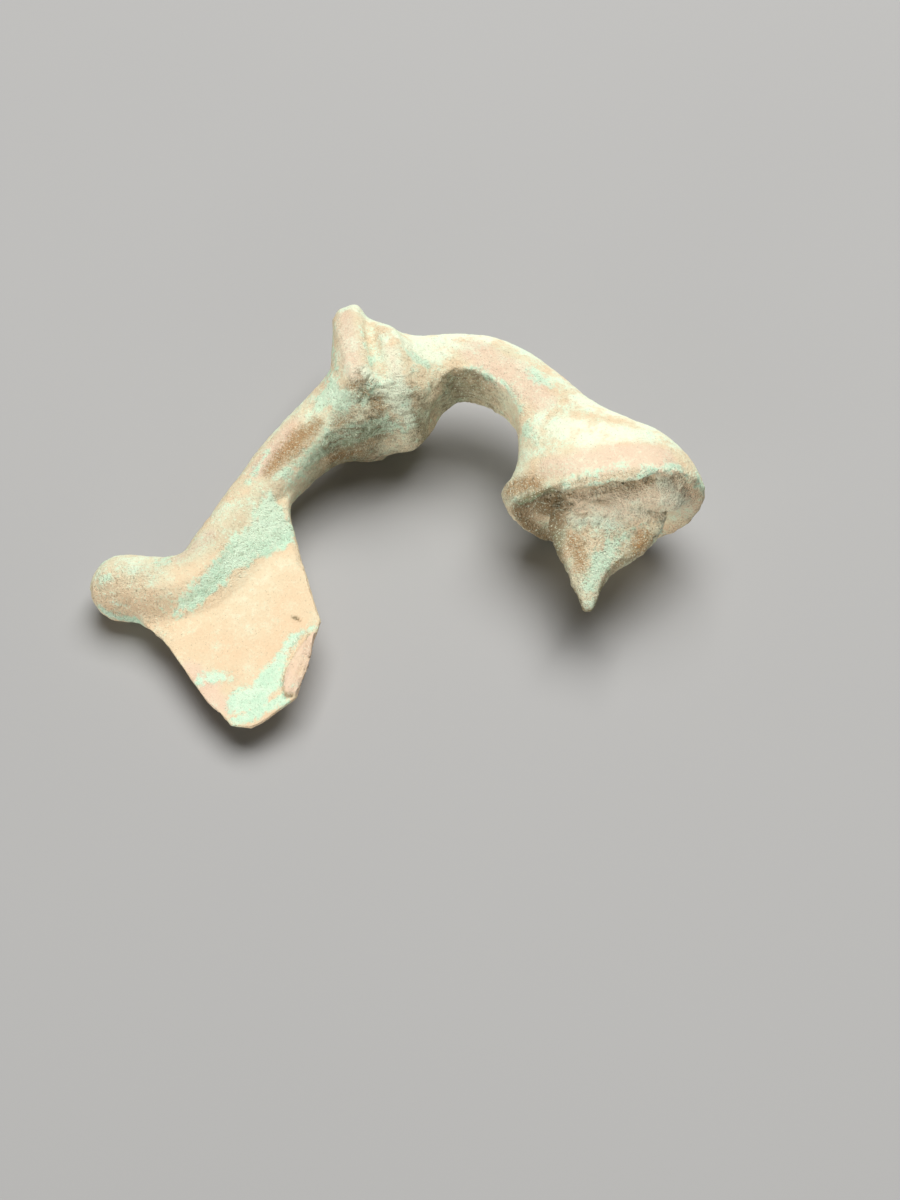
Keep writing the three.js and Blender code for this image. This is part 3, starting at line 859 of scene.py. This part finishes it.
class StageSizes(bpy.types.PropertyGroup):
    aim: FloatVectorProperty(
        name="Aim",
        description="Where the camera looks, on the floor",
        default=(3.406 * MM, -4.334 * MM, 0),
        precision=5,
        unit="LENGTH",
    )
    distance: length_setting("Distance", "Camera to aim", 120)
    pitch: FloatProperty(
        name="Pitch",
        description="How far the camera looks down",
        default=math.radians(55),
        subtype="ANGLE",
        unit="ROTATION",
    )
    lens: FloatProperty(name="Lens", description="Focal length in millimetres", default=55.08)
    floor: colour_setting("Floor", "Colour of the floor", (0.40, 0.395, 0.385))
    floor_side: FloatProperty(name="Floor side", description="Width of the floor", default=1.6, unit="LENGTH")
    key: FloatProperty(name="Key light", description="Power of the large light behind, in watts", default=3.5)
    fill: FloatProperty(name="Fill light", description="Power of the weak light in front, in watts", default=1.7)
    sky: FloatProperty(name="Sky", description="Strength of the even light all round", default=0.04)


# ---- operators ----


def finish_piece(piece, material):
    piece.data.materials.clear()
    piece.data.materials.append(material)
    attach(piece, "root")


class BROOCH_OT_casting(bpy.types.Operator):
    """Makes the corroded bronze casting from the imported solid"""

    bl_idname = "brooch.casting"
    bl_label = "Corroded casting"

    def execute(self, context):
        look = context.scene.brooch_relief
        size = look.millimetres()
        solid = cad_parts[SOLID]
        body = OwnFrame(solid)
        skin = even_skin(solid, look.cell / MM, look.rounds)
        mesh = skin.data
        ends = neighbours(mesh)
        p, normals, outline = form_casting(mesh, ends, body, size, look.fillet)
        warp = np.stack([Grain(seed).field(p, 1.3, 2) for seed in (3, 5, 7)], axis=1)
        marks = find_marks(p, warp, normals, outline)
        lift, flake = settle_flake(p, normals, size)
        shaped = p + normals * relief(p, warp, marks, size)[:, None]
        shaped[:, 2] += lift
        mesh.polygons.foreach_set("use_smooth", np.ones(len(mesh.polygons), bool))
        move_to(mesh, np.clip(body.row(shaped), *SOLID_BOX))
        covers = {
            # How far the surface stands above its smoothed copy; concave places get painted shade in the patina.
            "height": ((shaped - spread(shaped, ends, 10)) * normals).sum(axis=1),
            "mint": np.maximum(deepest(p, MINT_RUNS), 0.35 * marks["lip"] - 0.4),
            "green": green_cover(p, marks),
            # Palest crust, with a painted highlight on faces turned towards the key light.
            "cream_and_highlight": cream_and_highlight_cover(p, normals),
            "tan": deepest(p, TAN_AND_SHADE_RUNS),
            "brown": deepest(p, BROWN_RUNS),
            "pink": np.maximum(deepest(p, PINK_RUNS), flake - 0.6),
            # Painted light on the head's face, which lies in shade.
            "face_painted_light": 0.8 * share_in(p, (SMOOTH_PAINTED_LIGHT_RUN, FACE_PAINTED_LIGHT_RUN), 1.4, 0.5),
            "rough": marks["rough"],
            "layered": layer_cover(p, marks),
            # Soil, and painted shade on faces turned away from the light.
            "soil_and_shade": soil_and_shade_cover(p, normals, marks),
        }
        store(mesh, covers)
        finish_piece(skin, patina(context.scene.brooch_patina))
        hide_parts(SOLID)
        return {"FINISHED"}


def area_light(name, power, size, place):
    lamp = bpy.data.lights.new(name, "AREA")
    lamp.shape = "RECTANGLE"
    lamp.energy = power
    lamp.size, lamp.size_y = size
    light = bpy.data.objects.new(name, lamp)
    light.location = place
    light.rotation_euler = (-Vector(place)).to_track_quat("-Z", "Y").to_euler()
    bpy.context.scene.collection.objects.link(light)


def even_sky(strength):
    world = bpy.data.worlds.new("even_light")
    world.use_nodes = True
    sky = world.node_tree.nodes["Background"]
    sky.inputs["Color"].default_value = (1, 1, 1, 1)
    sky.inputs["Strength"].default_value = strength
    return world


class BROOCH_OT_stage(bpy.types.Operator):
    """Lays the floor and sets the lights and the camera"""

    bl_idname = "brooch.stage"
    bl_label = "Stage"

    def execute(self, context):
        look = context.scene.brooch_stage
        half = look.floor_side / 2
        mesh = bpy.data.meshes.new("floor")
        mesh.from_pydata([(-half, -half, 0), (half, -half, 0), (half, half, 0), (-half, half, 0)], [], [(0, 1, 2, 3)])
        mesh.materials.append(plain_finish(look.floor))
        floor = bpy.data.objects.new("floor", mesh)
        context.scene.collection.objects.link(floor)

        area_light("key_light", look.key, KEY_SIZE, KEY_PLACE)
        area_light("fill_light", look.fill, FILL_SIZE, FILL_PLACE)
        context.scene.world = even_sky(look.sky)
        context.scene.view_settings.view_transform = "Standard"

        lens = bpy.data.cameras.new("camera")
        lens.lens = look.lens
        lens.clip_start = MM
        camera = bpy.data.objects.new("camera", lens)
        context.scene.collection.objects.link(camera)
        forward = Vector((0, math.cos(look.pitch), -math.sin(look.pitch)))
        camera.location = Vector(look.aim) - forward * look.distance
        camera.rotation_euler = forward.to_track_quat("-Z", "Y").to_euler()
        context.scene.camera = camera
        return {"FINISHED"}


class BROOCH_PT_sidebar(bpy.types.Panel):
    """Lists the brooch's settings and what makes it"""

    bl_label = "Brooch"
    bl_space_type = "VIEW_3D"
    bl_region_type = "UI"
    bl_category = "Brooch"

    def draw(self, context):
        for operator, settings in STEPS:
            box = self.layout.box()
            for group in settings:
                owner = getattr(context.scene, group)
                for name in owner.bl_rna.properties.keys():
                    if name not in ("rna_type", "name"):
                        box.prop(owner, name)
            box.operator(operator.bl_idname)


STEPS = (
    (BROOCH_OT_casting, ("brooch_relief", "brooch_patina")),
    (BROOCH_OT_stage, ("brooch_stage",)),
)
SETTINGS = {"brooch_relief": ReliefSizes, "brooch_patina": PatinaColours, "brooch_stage": StageSizes}


def register():
    for group in SETTINGS.values():
        bpy.utils.register_class(group)
    for name, group in SETTINGS.items():
        setattr(bpy.types.Scene, name, PointerProperty(type=group))
    for operator, _ in STEPS:
        bpy.utils.register_class(operator)
    bpy.utils.register_class(BROOCH_PT_sidebar)


def unregister():
    bpy.utils.unregister_class(BROOCH_PT_sidebar)
    for operator, _ in reversed(STEPS):
        bpy.utils.unregister_class(operator)
    for name, group in SETTINGS.items():
        delattr(bpy.types.Scene, name)
        bpy.utils.unregister_class(group)


def main():
    register()
    bpy.ops.brooch.casting()
    bpy.ops.brooch.stage()


if __name__ == "__main__":
    main()
